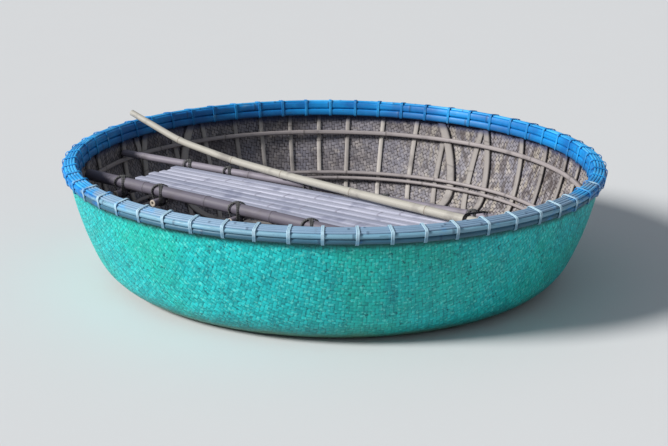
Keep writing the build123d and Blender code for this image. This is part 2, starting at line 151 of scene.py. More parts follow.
FLOOR_TURN = asin(FLOOR_SPREAD / FLOOR_RADIUS)
SIDE_START = FLOOR_TURN + BILGE_TURN
FLARE_SLOPE = SIDE_START + SIDE_TURN
FLOOR_END = FLOOR_RADIUS * FLOOR_TURN
BILGE_END = FLOOR_END + BILGE_RADIUS * BILGE_TURN
SIDE_END = BILGE_END + SIDE_RADIUS * SIDE_TURN
RIM_ALONG = SIDE_END + FLARE_LENGTH
WALL_END = RIM_ALONG + WALL_ABOVE_RIM_CENTRE
LINE_END = WALL_END + LINE_SPARE
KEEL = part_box("hull_basket")[0].z
FORE_LAYER = HULL_WALL + SEAT_GAP
CROSS_LAYER = FORE_LAYER + LATH_THICKNESS + SEAT_GAP
INNER_FACE = CROSS_LAYER + LATH_THICKNESS + SEAT_GAP
OUTER_FACE = SEAT_GAP + CANE_THICKNESS
CANE_TOP = WALL_ABOVE_RIM_CENTRE + SEAT_GAP
CAP_LOW = CANE_TOP + SEAT_GAP
CAP_HIGH = CAP_LOW + CAP_THICKNESS
OUTER_BOTTOM = CANE_TOP - 2.0 * CANE_HEIGHTS["outer"] - SEAT_GAP
INNER_BOTTOM = CANE_TOP - 2.0 * CANE_HEIGHTS["inner"] - SEAT_GAP
LASHING_COUNT = LASHINGS_PER_LENGTH * CANE_LENGTHS
LASHING_STEP = 2.0 * pi / LASHING_COUNT
UP = np.array([0.0, 0.0, 1.0])

# The line as a fine table: length along it, slope, radius and height.
line_along = np.linspace(0.0, LINE_END, LINE_STEPS)
line_slope = np.interp(
    line_along,
    [0.0, FLOOR_END, BILGE_END, SIDE_END, LINE_END],
    [0.0, FLOOR_TURN, SIDE_START, FLARE_SLOPE, FLARE_SLOPE],
)


def running_sum(rate):
    """Length grown along the line at this rate, from zero at the keel."""
    steps = (rate[1:] + rate[:-1]) / 2.0 * (line_along[1] - line_along[0])
    return np.concatenate([[0.0], np.cumsum(steps)])


line_radius = running_sum(np.cos(line_slope))
line_height = KEEL + running_sum(np.sin(line_slope))


def on_hull(along, azimuth, inset):
    """Points at a length along the hull's line, an azimuth and a depth inside the outer face."""
    along, azimuth, inset = np.broadcast_arrays(along, azimuth, inset)
    slope = np.interp(along, line_along, line_slope)
    radius = np.interp(along, line_along, line_radius) - inset * np.sin(slope)
    height = np.interp(along, line_along, line_height) + inset * np.cos(slope)
    return np.stack([radius * np.cos(azimuth), radius * np.sin(azimuth), height], axis=-1)


def along_at_height(height, inset):
    """Length along the hull's line where a surface at this inset has this height."""
    heights = line_height + inset * np.cos(line_slope)
    return float(np.interp(height, heights, line_along))


def unit(vectors):
    return vectors / np.linalg.norm(vectors, axis=-1, keepdims=True)


def level(angle):
    """Level direction at this angle from X, and the one square to it on its left."""
    return np.array([cos(angle), sin(angle), 0.0]), np.array([-sin(angle), cos(angle), 0.0])


def hump(place, middle, width):
    """Smooth rise to 1 at the middle."""
    return np.exp(-((place - middle) / width) ** 2)


def waves(place, seed, size, counts=(1.0, 2.3, 4.7, 9.1)):
    """Smooth uneven line made of a few sines. Whole counts close up after one turn."""
    phases = np.random.default_rng(seed).random(len(counts))
    total = sum(np.sin(2.0 * pi * (n * place + p)) / n ** 0.5 for n, p in zip(counts, phases))
    return size * total / len(counts) ** 0.5


def cells(rows, columns):
    """Row and column of the four corners of every cell of a grid, this many cells each way."""
    i, j = np.meshgrid(np.arange(rows), np.arange(columns), indexing="ij")
    row = np.stack([i, i + 1, i + 1, i], axis=-1).reshape(-1, 4)
    column = np.stack([j, j, j + 1, j + 1], axis=-1).reshape(-1, 4)
    return row, column


def added(name, data):
    """A new object in the scene."""
    made = bpy.data.objects.new(name, data)
    bpy.context.scene.collection.objects.link(made)
    return made


class Shape:
    """One mesh in the making. Its points have marks for their material: tone, rise, joint and cut."""

    def __init__(self):
        self.points = []
        self.quads = []
        self.maps = []
        self.loops = []
        self.loop_maps = []
        self.marks = {"tone": [], "rise": [], "joint": [], "cut": []}
        self.count = 0

    def add_points(self, points, marks):
        """Take in points and their marks, and give the number of the first."""
        shape = points.shape[:-1]
        for name, parts in self.marks.items():
            parts.append(np.broadcast_to(marks.get(name, 0.0), shape).ravel())
        self.points.append(points.reshape(-1, 3))
        first = self.count
        self.count += int(np.prod(shape))
        return first

    def sheets(self, points, along, around, away, closed=(False, False), **marks):
        """Sheets of points in rows and columns, facing along away. Their grain has a length for each row and
        each column, and one more where they close up."""
        count, rows, columns = points.shape[:3]
        first = self.add_points(points, marks)
        step_i, step_j = cells(rows - 1 + closed[0], columns - 1 + closed[1])
        row = step_i % rows
        column = step_j % columns
        corner = points[:, row, column]
        normal = np.cross(corner[:, :, 2] - corner[:, :, 0], corner[:, :, 3] - corner[:, :, 1])
        away = np.broadcast_to(away, points.shape)[:, row[:, 0], column[:, 0]]
        flip = (normal * away).sum(axis=(1, 2)) < 0.0
        quads = np.arange(count)[:, None, None] * rows * columns + row * columns + column + first
        grain = np.stack([along[:, step_i], around[:, step_j]], axis=-1)
        quads[flip] = quads[flip][:, :, ::-1]
        grain[flip] = grain[flip][:, :, ::-1]
        self.quads.append(quads.reshape(-1, 4))
        self.maps.append(grain.reshape(-1, 2))

    def grid(self, points, along, around, closed=False, inward=False, **marks):
        """Rows of points, each row closed. The faces look away from their row's middle, or towards it."""
        away = (points - points.mean(axis=1, keepdims=True)) * (-1.0 if inward else 1.0)
        self.sheets(points[None], along[None], around[None], away[None], (closed, True), **marks)

    def cap(self, loop, away, **marks):
        """Flat end face on a loop of points, looking along away."""
        marks.setdefault("cut", 1.0)
        first = self.add_points(loop, marks)
        spread = loop - loop.mean(axis=0)
        normal = np.cross(spread, np.roll(spread, -1, axis=0)).sum(axis=0)
        order = np.arange(len(loop))
        if normal @ away < 0.0:
            order = order[::-1]
        side = unit(spread[0])
        other = unit(np.cross(away, side))
        self.loops.append((order + first).tolist())
        self.loop_maps.append(np.stack([spread @ side, spread @ other], axis=-1)[order])

    def make(self, name, material, slot, node):
        """The finished piece, riding on the boat and standing for a solid."""
        mesh = bpy.data.meshes.new(name)
        faces = np.concatenate(self.quads).tolist() + self.loops
        mesh.from_pydata(np.concatenate(self.points).tolist(), [], faces)
        grain = mesh.uv_layers.new(name="grain")
        flat = np.concatenate(self.maps + self.loop_maps)
        grain.data.foreach_set("uv", flat.astype(np.float32).ravel())
        for key, parts in self.marks.items():
            made = mesh.attributes.new(key, "FLOAT", "POINT")
            made.data.foreach_set("value", np.concatenate(parts).astype(np.float32))
        mesh.shade_smooth()
        mesh.materials.append(material)
        piece = added(name, mesh)
        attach(piece, "root")
        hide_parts(node)


# Sections and sweeps.
def rounded(low, high, inner, outer, radii):
    """Closed section of a bar. Its radii: low inner, low outer, high outer and high inner corner."""
    corners = np.array([(low, inner), (low, outer), (high, outer), (high, inner)])
    section = []
    for index, radius in enumerate(radii):
        corner = corners[index]
        back = unit(corners[index - 1] - corner)
        ahead = unit(corners[(index + 1) % 4] - corner)
        centre = corner + (back + ahead) * radius
        for turn in np.linspace(0.0, pi / 2.0, 4):
            section.append(centre - radius * (ahead * cos(turn) + back * sin(turn)))
    return np.array(section)


def path_lengths(path):
    return np.concatenate([[0.0], np.cumsum(np.linalg.norm(np.diff(path, axis=0), axis=1))])


def loop_lengths(loop):
    """Length round a closed line at each of its points, and back at the first."""
    return path_lengths(np.concatenate([loop, loop[:1]]))


def round_path(points, reaches):
    """A path with its corners rounded, by curves that start this far from each corner."""
    points = np.array(points)
    path = [points[0]]
    for index in range(1, len(points) - 1):
        corner = points[index]
        before = points[index - 1] - corner
        after = points[index + 1] - corner
        start = corner + before * min(0.48, reaches[index] / np.linalg.norm(before))
        end = corner + after * min(0.48, reaches[index] / np.linalg.norm(after))
        for t in np.linspace(0.0, 1.0, 6):
            path.append(start * (1 - t) ** 2 + corner * 2 * t * (1 - t) + end * t ** 2)
    path.append(points[-1])
    return np.array(path)


def tube(shape, path, lateral, half_width, half_height, sides=7, closed=False, **marks):
    """Round or flat strand along a path. Lateral is its width's direction."""
    if closed:
        tangent = unit(np.roll(path, -1, axis=0) - np.roll(path, 1, axis=0))
    else:
        tangent = unit(np.gradient(path, axis=0))
    across = unit(lateral - tangent * (tangent * lateral).sum(-1, keepdims=True))
    up = np.cross(tangent, across)
    turn = 2.0 * pi * np.arange(sides) / sides
    wide = across[:, None] * (np.cos(turn)[:, None] * half_width)
    high = up[:, None] * (np.sin(turn)[:, None] * half_height)
    points = path[:, None] + (wide + high)
    along = loop_lengths(path) if closed else path_lengths(path)
    around = np.linspace(0.0, pi * (half_width + half_height), sides + 1)
    shape.grid(points, along, around, closed=closed, **marks)
    if not closed:
        shape.cap(points[0], -tangent[0], **marks)
        shape.cap(points[-1], tangent[-1], **marks)


# Weave.
def weave_floats(seed):
    """Middle and direction of each strip's pass over two others, in the flat mat, and the strip's tone."""
    reach = int(WALL_END / STRIP_PITCH) + 2
    i, j = np.meshgrid(np.arange(-reach, reach), np.arange(-reach, reach), indexing="ij")
    over = (i + j) % 4
    first = over == 0
    second = over == 2
    middles = np.concatenate([
        np.stack([i[first] + 1.0, j[first] + 0.5], axis=-1),
        np.stack([i[second] + 0.5, j[second] + 1.0], axis=-1),
    ]) * STRIP_PITCH
    runs = np.concatenate([np.tile([1.0, 0.0], (first.sum(), 1)), np.tile([0.0, 1.0], (second.sum(), 1))])
    strips = np.concatenate([j[first] + reach, i[second] + 3 * reach])
    tones = np.random.default_rng(seed).random(6 * reach)
    near = np.linalg.norm(middles, axis=1) < RIM_ALONG + CANE_TOP - WEAVE_TOP_DROP
    return middles[near], runs[near], tones[strips[near]]


def weave(outer, seed):
    """One face of the woven mat, every float a crowned patch whose ends dip under its neighbours."""
    middles, runs, tones = weave_floats(seed)
    rng = np.random.default_rng(seed + 1)
    sides = np.stack([-runs[:, 1], runs[:, 0]], axis=-1)
    u = np.array([-FLOAT_END, -FLOAT_FLAT, FLOAT_FLAT, FLOAT_END]) * STRIP_PITCH
    v = np.array([-STRIP_HALF_WIDTH, 0.0, STRIP_HALF_WIDTH]) * STRIP_PITCH
    end_dip = np.array([0.0013, 0.00015, 0.00015, 0.0013])
    side_dip = np.array([0.00035, 0.0, 0.00035])
    shift = rng.normal(0.0, 0.0006, (len(middles), 1, 1))
    slack = rng.random((len(middles), 1, 1)) * 0.0004
    depth = end_dip[:, None] + side_dip[None] + slack
    flat = (
        middles[:, None, None]
        + runs[:, None, None] * u[:, None, None]
        + sides[:, None, None] * (v[None, :, None] + shift[..., None])
    )
    c, s = cos(WEAVE_TURN), sin(WEAVE_TURN)
    x = flat[..., 0] * c - flat[..., 1] * s
    y = flat[..., 0] * s + flat[..., 1] * c
    along = np.minimum(np.hypot(x, y), WALL_END)
    azimuth = np.arctan2(y, x)
    points = on_hull(along, azimuth, depth if outer else HULL_WALL - depth)
    outward = on_hull(along, azimuth, 0.0) - on_hull(along, azimuth, HULL_WALL)
    away = outward if outer else -outward
    ends = (middles * runs).sum(-1)[:, None] + u
    edges = tones[:, None] * 7.0 + v
    uneven = np.clip(tones + rng.normal(0.0, 0.12, len(tones)), 0.0, 1.0)[:, None, None]
    shape = Shape()
    shape.sheets(points, ends, edges, away, tone=uneven, rise=1.0 - depth / 0.002)
    return shape


def hull_core(outer):
    """The mat's hidden middle, seen only through the gaps between the strips of one face."""
    azimuth = 2.0 * pi * np.arange(SHELL_COLUMNS) / SHELL_COLUMNS
    along = np.linspace(SHELL_START, WALL_END, SHELL_ROWS)
    around = np.linspace(0.0, 2.0 * pi, SHELL_COLUMNS + 1)
    points = on_hull(along[:, None], azimuth[None], WEAVE_RECESS if outer else HULL_WALL - WEAVE_RECESS)
    shape = Shape()
    # Its low rise gives the core the gaps' darkening: dirt and painted shade outside, tar and painted shade
    # inside.
    shape.grid(points, along, around, inward=not outer, tone=0.2, rise=0.2)
    shape.cap(points[0], -UP if outer else UP, tone=0.2, rise=0.2, cut=0.0)
    return shape


# Canes that follow the wall.
def cane_joints(length, seed):
    """Places of bamboo joints along a cane of this length."""
    rng = np.random.default_rng(seed)
    places = []
    place = 0.08 + 0.25 * rng.random()
    while place < length - 0.05:
        places.append(place)
        place += 0.30 + 0.09 * rng.random()
    return np.array(places)


def joint_marks(along, joints, width=0.006):
    """How near each place is to a joint, from 0 to 1."""
    if len(joints) == 0:
        return np.zeros_like(along)
    nearest = np.abs(along[:, None] - joints[None]).min(axis=1)
    return hump(nearest, 0.0, width)


def with_joints(along, joints, offsets=(-0.012, -0.005, -0.002, 0.0, 0.002, 0.005, 0.012)):
    """Stations along a cane, with close ones round each joint."""
    extra = (joints[:, None] + np.array(offsets)[None]).ravel()
    extra = extra[(extra > along[0]) & (extra < along[-1])]
    return np.unique(np.concatenate([along, extra]))


def wall_cane(shape, section, start, turn, seed, tone, swell=0.0008, wander=0.0007):
    """Cane round the wall. Its section is in length up the hull's line and depth inside the outer face."""
    radius = float(np.interp(section[:, 0].mean(), line_along, line_radius))
    length = turn * radius
    joints = cane_joints(length, seed)
    place = with_joints(np.linspace(0.0, length, int(length / CANE_STEP)), joints)
    marks = joint_marks(place, joints)
    azimuth = start + place / radius
    share = azimuth / (2.0 * pi)
    middle = section.mean(axis=0)
    up_wave = waves(share, seed, wander, RING_WAVES)
    in_wave = waves(share, seed + 1, wander * 0.5, RING_WAVES)
    grow = 1.0 + (marks * swell / np.abs(section - middle).max(axis=0).min())[:, None]
    along = middle[0] + (section[None, :, 0] - middle[0]) * grow + up_wave[:, None]
    inset = middle[1] + (section[None, :, 1] - middle[1]) * grow + in_wave[:, None]
    points = on_hull(along, azimuth[:, None], inset)
    whole = turn > 2.0 * pi - 1e-6
    if whole:
        points = points[:-1]
        marks = marks[:-1]
    shape.grid(points, place, loop_lengths(section), closed=whole, tone=tone, rise=0.6, joint=marks[:, None])
    if not whole:
        shape.cap(points[0], -level(start)[1], tone=tone)
        shape.cap(points[-1], level(start + turn)[1], tone=tone)


def cane_row(shape, section, row, seed):
    """One row of rim canes: equal lengths that meet under lashings."""
    turn = 2.0 * pi / CANE_LENGTHS
    gap = CANE_JOINT_GAP / line_radius[-1]
    first = LASHING_FIRST_ANGLE + CANE_JOINTS[row] * LASHING_STEP
    tones = np.random.default_rng(seed).random(CANE_LENGTHS)
    for index in range(CANE_LENGTHS):
        start = first + index * turn + gap / 2.0
        wall_cane(shape, section, start, turn - gap, seed + 10 * index, tones[index])


def rim_cane(place, row, seed):
    """Outer or inner cane of the rim, upper or lower, with its showing edges well rounded."""
    height = CANE_HEIGHTS[place]
    high = RIM_ALONG + CANE_TOP - (height + SEAT_GAP if row == "lower" else 0.0)
    near, far = (-SEAT_GAP, -OUTER_FACE) if place == "outer" else (INNER_FACE, INNER_FACE + CANE_THICKNESS)
    section = rounded(high - height, high, near, far, (CANE_EDGE, CANE_ROUND, CANE_ROUND, CANE_EDGE))
    shape = Shape()
    cane_row(shape, section, place + "_" + row, seed)
    return shape


def rim_cap():
    """Narrow strips side by side over the top edge."""
    outer = -(SEAT_GAP + CAP_OVERHANG)
    inner = INNER_FACE + CAP_OVERHANG
    width = (inner - outer) / CAP_STRIPS
    shape = Shape()
    for index in range(CAP_STRIPS):
        first = outer + index * width + CAP_STRIP_GAP / 2.0
        last = outer + (index + 1) * width - CAP_STRIP_GAP / 2.0
        drop = CAP_SIDE_DROP if index in (0, CAP_STRIPS - 1) else 0.0
        low = RIM_ALONG + CAP_LOW
        high = RIM_ALONG + CAP_HIGH - drop
        section = rounded(low, high, first, last, (0.001, 0.001, 0.0032, 0.0032))
        cane_row(shape, section, "cap", 300 + index)
    return shape


def rim_lashings():
    """Three strands at each lashing, over the cap and down both sides, with their ends under the canes."""
    rng = np.random.default_rng(41)
    lift = SEAT_GAP + STRAND_HALF_THICKNESS
    low_outer = OUTER_BOTTOM - lift
    low_inner = INNER_BOTTOM - lift
    high = CAP_HIGH + lift
    outer = OUTER_FACE + lift
    inner = -INNER_FACE - CANE_THICKNESS - lift
    run = [(low_outer, 0.002), (low_outer, outer), (high, outer)]
    run += [(high, inner), (low_inner, inner), (low_inner, -INNER_FACE)]
    path = round_path(run, (0.0, 0.006, 0.012, 0.012, 0.006, 0.0))
    shape = Shape()
    for index in range(LASHING_COUNT):
        azimuth = LASHING_FIRST_ANGLE + index * LASHING_STEP + rng.normal(0.0, 0.0022)
        tone = rng.random()
        slant = rng.normal(0.0, 0.0016)
        for strand in range(STRANDS):
            place = (strand - (STRANDS - 1) / 2.0) * STRAND_PITCH
            shift = place + slant * np.linspace(-1.0, 1.0, len(path)) + rng.normal(0.0, 0.0003)
            line = on_hull(RIM_ALONG + path[:, 0], azimuth + shift / line_radius[-1], -path[:, 1])
            tube(
                shape, line, level(azimuth)[1], STRAND_HALF_WIDTH, STRAND_HALF_THICKNESS,
                sides=8, tone=tone + 0.1 * strand, rise=0.8,
            )
    return shape


def hoop(name, seed):
    """Split cane sprung against the laths."""
    height, depth = HOOPS[name]
    middle = along_at_height(height, INNER_FACE)
    near = INNER_FACE + SEAT_GAP / 2.0
    far = near + HOOP_THICKNESS - 0.001
    radii = (CANE_EDGE, 0.005, 0.005, CANE_EDGE)
    section = rounded(middle - depth / 2.0, middle + depth / 2.0, near, far, radii)
    shape = Shape()
    wall_cane(shape, section, radians(37.0 + seed), 2.0 * pi, seed, 0.5, swell=0.0006, wander=0.0016)
    return shape


# Laths.
def lath_edge(foot, heading, across, lean, inset):
    """Fine line where a leaning plane meets a surface of the hull, from rim to rim, and lengths along it."""
    lateral = np.array([heading[1], -heading[0]])

    def meeting(along):
        """A point of the plane at each height, the height, the point's place along heading, and the room."""
        height = np.interp(along, line_along, line_height + inset * np.cos(line_slope))
        radius = np.interp(along, line_along, line_radius - inset * np.sin(line_slope))
        aside = across / np.cos(lean) + (height - FLOOR_HEIGHT) * np.tan(lean)
        base = foot + lateral * aside[:, None]
        middle = base @ heading
        return base, height, middle, middle ** 2 - (base ** 2).sum(axis=1) + radius ** 2

    room = meeting(line_along)[3]
    first = int(np.argmax(room > 0.0))
    share = room[first - 1] / (room[first - 1] - room[first])
    lowest = line_along[first - 1] + share * (line_along[1] - line_along[0])
    along = lowest + (WALL_END - LATH_TOP_DROP - lowest) * np.linspace(0.0, 1.0, 500) ** 2
    base, height, middle, room = meeting(along)
    half = np.sqrt(np.maximum(room, 0.0))
    sides = []
    for sign in (-1.0, 1.0):
        plan = base + heading * (sign * half - middle)[:, None]
        sides.append(np.column_stack([plan, height]))
    path = np.concatenate([sides[0][::-1], sides[1][1:]])
    return path, path_lengths(path)


def lath(foot, heading, lean, layer, seed):
    """Split lath from rim to rim, flat on the bowl, with joints and slightly uneven edges."""
    rng = np.random.default_rng(seed)
    lines = []
    for across, depth in LATH_SECTION:
        inset = layer + depth * (LATH_THICKNESS - 0.0002)
        lines.append(lath_edge(foot, heading, across * LATH_WIDTH, lean, inset))
    length = lines[0][1][-1]
    joints = cane_joints(length, seed + 1)
    place = with_joints(np.linspace(0.0, length, int(length / CANE_STEP)), joints) / length
    marks = joint_marks(place * length, joints, 0.005)
    points = []
    for path, lengths in lines:
        at = place * lengths[-1]
        points.append(np.stack([np.interp(at, lengths, path[:, axis]) for axis in range(3)], axis=-1))
    points = np.stack(points, axis=1)
    middle = points[:, [0, 8]].mean(axis=1, keepdims=True)
    width = 1.0 + waves(place, seed + 2, 0.035) + 0.05 * marks
    points = middle + (points - middle) * width[:, None, None]
    around = loop_lengths(np.array(LATH_SECTION) * (LATH_WIDTH, LATH_THICKNESS))
    shape = Shape()
    shape.grid(points, place * length, around, tone=rng.random(), rise=0.5, joint=marks[:, None])
    for end, inner in ((0, 1), (-1, -2)):
        shape.cap(points[end], unit(points[end].mean(axis=0) - points[inner].mean(axis=0)))
    return shape


def lath_family(prefix, rows, layer, turn, fan, seed, material):
    """Every lath of one direction, each its own piece."""
    middle = (len(rows) - 1) / 2.0
    for index, (shift, skew) in enumerate(rows):
        place = (index - middle) * LATH_SPACING + shift
        foot = place * level(turn)[0][:2]
        heading = level(turn + radians(skew) + pi / 2.0)[0][:2]
        shape = lath(foot, heading, np.arctan2(place, fan), layer, seed + 10 * index)
        name = "%s_%02d" % (prefix, index + 1)
        shape.make(name + "_lath", material, "rib_bamboo", name)


# Straight pieces, placed by their solids.
def corners_of(node):
    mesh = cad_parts[node].data
    corners = np.zeros(len(mesh.vertices) * 3)
    mesh.vertices.foreach_get("co", corners)
    return corners.reshape(-1, 3)


def placed(node, angle):
    """Directions along and across a level piece, its reach along, across and in height, and its axis."""
    heading, across = level(angle)
    places = [corners_of(node) @ direction for direction in (heading, across, UP)]
    run, side, height = [(float(place.min()), float(place.max())) for place in places]
    axis = across * sum(side) / 2.0 + UP * sum(height) / 2.0
    return heading, across, (run, side, height), axis


def culm_profile(length, radii, joints, bore, ring):
    """Place, radius, joint and cut marks along a pole, from inside one hollow end to inside the other."""
    growth = (radii[1] - radii[0]) / length
    stations = np.linspace(0.0, length, max(8, int(length / 0.030)))
    offsets = (-0.016, -0.008, -0.004, -0.002, -0.0006, 0.0008, 0.0025, 0.005, 0.010, 0.016)
    stations = with_joints(stations[1:-1], joints, offsets)
    sizes = radii[0] + growth * stations
    marks = np.zeros_like(stations)
    for joint in joints:
        d = stations - joint
        sizes = sizes + ring * (0.75 * hump(d, -0.0045, 0.004) + hump(d, 0.003, 0.0035))
        sizes = sizes - 0.35 * ring * hump(d, -0.0006, 0.0012)
        marks = np.maximum(marks, hump(d, -0.0006, 0.004))
    ends = []
    for end, inner in ((0.0, 1.0), (length, -1.0)):
        radius = radii[0] + growth * end
        hole = radius * bore
        profile = (
            (CULM_BORE_DEPTH, hole * 0.08), (CULM_BORE_DEPTH, hole * 0.9), (CULM_BORE_DEPTH - 0.002, hole),
            (0.02, hole), (CULM_LIP, hole), (0.0, hole + CULM_LIP), (0.0, (hole + radius) / 2.0),
            (0.0, radius - CULM_LIP), (CULM_LIP, radius), (3.0 * CULM_LIP, radius),
        )
        depth, size = np.array(profile).T
        cut = np.arange(len(profile)) < 8
        ends.append(np.column_stack([end + inner * depth, size, np.zeros_like(size), cut]))
    before = ends[0]
    after = ends[1][::-1]
    inside = (stations > before[-1, 0]) & (stations < after[0, 0])
    between = np.column_stack([stations, sizes, marks, np.zeros_like(stations)])[inside]
    return np.concatenate([before, between, after]).T


def culm(centre_at, length, radii, joints, seed, bore=0.55, ring=CULM_RING, sides=24, tone=0.5):
    """Bamboo pole along a gentle line, with raised joints and hollow ends."""
    places, sizes, marks, cut = culm_profile(length, radii, joints, bore, ring)
    ahead = unit(centre_at(places + 0.001) - centre_at(places - 0.001))
    across = unit(np.cross(ahead, UP))
    up = np.cross(across, ahead)
    turn = 2.0 * pi * np.arange(sides) / sides
    out = 1.0 + waves(places / length, seed, 0.010)[:, None] * np.cos(2.0 * turn)[None]
    ring_points = across[:, None] * np.cos(turn)[:, None] + up[:, None] * np.sin(turn)[:, None]
    points = centre_at(places)[:, None] + ring_points * (sizes[:, None] * out)[..., None]
    run = path_lengths(np.column_stack([places, sizes]))
    around = np.linspace(0.0, 2.0 * pi * sizes.max(), sides + 1)
    shape = Shape()
    shape.grid(points, run, around, tone=tone, rise=0.5, joint=marks[:, None], cut=cut[:, None])
    shape.cap(points[0], -ahead[0], tone=0.1)
    shape.cap(points[-1], ahead[-1], tone=0.1)
    return shape


def even_joints(length):
    """Places of the joints of a thick pole."""
    spans = max(2, round(length / CULM_STEP))
    return np.arange(1, spans) * length / spans


def pole(node, angle, radius, seed, joints_of=even_joints, bend=0.0, **details):
    """Level pole in its solid's place, straight or with a slight bend."""
    heading, across, (run, _, _), axis = placed(node, angle)
    length = run[1] - run[0]

    def centre(at):
        beside = waves(at / length, seed + 1, bend)
        return axis + heading * (run[0] + at)[:, None] + across * beside[:, None]

    return culm(centre, length, (radius, radius), joints_of(length), seed, **details)


def smoothed(places, line, reach):
    """A run of straight chords with its corners softened by averaging over a reach to both sides."""
    shifts = np.linspace(-reach, reach, 13)
    before = line[0] - (line[1] - line[0]) / (line[1, 0] - line[0, 0])
    after = line[-1] + (line[-1] - line[-2]) / (line[-1, 0] - line[-2, 0])
    table = np.vstack([before, line, after])
    values = [np.interp(places[:, None] + shifts, table[:, 0], table[:, k]).mean(axis=1) for k in (1, 2)]
    return np.stack(values, axis=-1)


def long_pole():
    """The pale pole, bowed from the rim down to the bench."""
    heading, across, (run, _, _), _ = placed("long_pole", LONG_POLE_TURN)
    corners = corners_of("long_pole")
    place = corners @ heading - run[0]
    reach = run[1] - run[0]
    line = []
    for share in LONG_POLE_JOINTS:
        near = corners[np.abs(place - share * reach) < 0.018]
        aside = near @ across
        height = near[:, 2]
        line.append((share * reach, (aside.min() + aside.max()) / 2.0, (height.min() + height.max()) / 2.0))
    line = np.array(line)

    def centre(at):
        beside = smoothed(at, line, 0.06)
        return heading * (run[0] + at)[:, None] + across * beside[:, :1] + UP * beside[:, 1:]

    return culm(centre, reach, LONG_POLE_RADII, np.array(LONG_POLE_JOINTS[1:-1]) * reach, 77, sides=28)


def plank(node, angle, seed):
    """Split-bamboo slat with a crowned top, joints and rough ends."""
    rng = np.random.default_rng(seed)
    heading, across, (run, side, height), axis = placed(node, angle)
    length = run[1] - run[0]
    width = side[1] - side[0]
    thick = height[1] - height[0]
    section = rounded(-width / 2.0, width / 2.0, 0.0, thick, (0.002, 0.002, 0.004, 0.004))
    fall = SLAT_CROWN * (section[:, 0] / (width / 2.0)) ** 2
    section[:, 1] -= np.where(section[:, 1] > thick / 2.0, fall, 0.0)
    joints = cane_joints(length, seed + 1)
    place = with_joints(np.linspace(0.0, length, int(length / 0.022)), joints)
    marks = joint_marks(place, joints)
    share = place / length
    narrow = 0.98 + waves(share, seed + 2, 0.022) + 0.02 * marks
    shift = waves(share, seed + 3, 0.0010)
    lift = 0.96 + 0.07 * marks + waves(share, seed + 4, 0.02)
    aside = section[None, :, 0] * narrow[:, None] + shift[:, None]
    above = section[None, :, 1] * lift[:, None] - thick / 2.0
    tilt = (rng.random(2) - 0.5) * 0.16
    slant = np.zeros_like(aside)
    slant[[0, -1]] = aside[[0, -1]] * tilt[:, None]
    points = (
        axis
        + heading * (run[0] + place[:, None] + slant)[..., None]
        + across * aside[..., None]
        + UP * above[..., None]
    )
    shape = Shape()
    shape.grid(points, place, loop_lengths(section), tone=rng.random(), rise=0.5, joint=marks[:, None])
    shape.cap(points[0], -heading, tone=rng.random())
    shape.cap(points[-1], heading, tone=rng.random())
    return shape


def bench_ties():
    """Crossed cord ties where bearers hang from the poles."""
    rng = np.random.default_rng(63)
    shape = Shape()
    cord = BENCH_CORD
    half = np.linspace(0.0, pi, 9)
    for place, skew in POLE_SKEWS.items():
        radius = POLE_RADII[place]
        _, across, _, above = placed("bench_%s_pole" % place, BENCH_TURN + skew)
        for index in range(BEARER_COUNT):
            line, _, _, below = placed("bench_bearer_%d" % (index + 1), BENCH_TURN + pi / 2.0)
            crossing = below - line * (((below - above) @ across) / (line @ across))
            top = (above - below)[2]
            for turn in (pi / 4.0, -pi / 4.0):
                out, beside = level(BENCH_TURN + skew / 2.0 + turn)
                for strand in (-1, 0, 1):
                    grow = cord * (1.15 + 0.25 * rng.random())
                    wide = np.concatenate([
                        np.cos(half) * (radius * 1.414 + grow),
                        -np.cos(half) * (BEARER_RADIUS * 1.414 + grow),
                    ])
                    high = np.concatenate([
                        top + np.sin(half) * (radius + grow + CULM_RING),
                        -np.sin(half) * (BEARER_RADIUS + grow),
                    ])
                    shift = strand * cord * 2.05 * (1.0 + 0.15 * rng.random())
                    path = crossing + out * wide[:, None] + beside * shift + UP * high[:, None]
                    tube(shape, path, beside, cord, cord, closed=True, tone=rng.random(), rise=0.5)
    return shape


def pole_tie():
    """Turns of cord round the long pole near its butt, and a loop of it on to the bench's back pole."""
    heading, across, (run, _, height), axis = placed("long_pole_tie", LONG_POLE_TURN)
    middle = heading * sum(run) / 2.0 + axis
    cord = POLE_CORD
    radius = (height[1] - height[0]) / 2.0 - cord * 0.7
    turns = 3
    turn = np.linspace(0.0, 2.0 * pi * turns, 24 * turns + 1)
    along = (turn / turn[-1] - 0.5) * turns * cord * 2.1
    wound = middle + across * (np.cos(turn) * radius)[:, None] + UP * (np.sin(turn) * radius)[:, None]
    shape = Shape()
    tube(shape, wound + heading * along[:, None], heading, cord, cord, tone=0.2, rise=0.5)

    beside, aside, _, back_axis = placed("bench_back_pole", BENCH_TURN + POLE_SKEWS["back"])
    reach = (back_axis - middle) @ aside
    drop = (back_axis - middle)[2]
    near = radius + cord
    far = POLE_RADII["back"] + CULM_RING + cord
    low = np.linspace(-0.35, -0.1, 3)
    round_pole = np.linspace(pi, 2.5 * pi, 16)
    high = np.linspace(0.42 * pi, 0.65 * pi, 4)
    wide = np.concatenate([near * np.cos(low), reach + far * np.cos(round_pole), near * np.cos(high)])
    tall = np.concatenate([near * np.sin(low), drop + far * np.sin(round_pole), near * np.sin(high)])
    for index, shift in enumerate((-0.004, 0.005)):
        line = middle + aside * wide[:, None] + UP * tall[:, None] + beside * shift
        tube(shape, line, beside, cord, cord, tone=0.3 * index, rise=0.5)
    return shape


# Materials. Colours are display values between 0 and 1.
def srgb(colour):
    """The colour as linear values."""
    return tuple(((c + 0.055) / 1.055) ** 2.4 if c > 0.04045 else c / 12.92 for c in colour) + (1.0,)


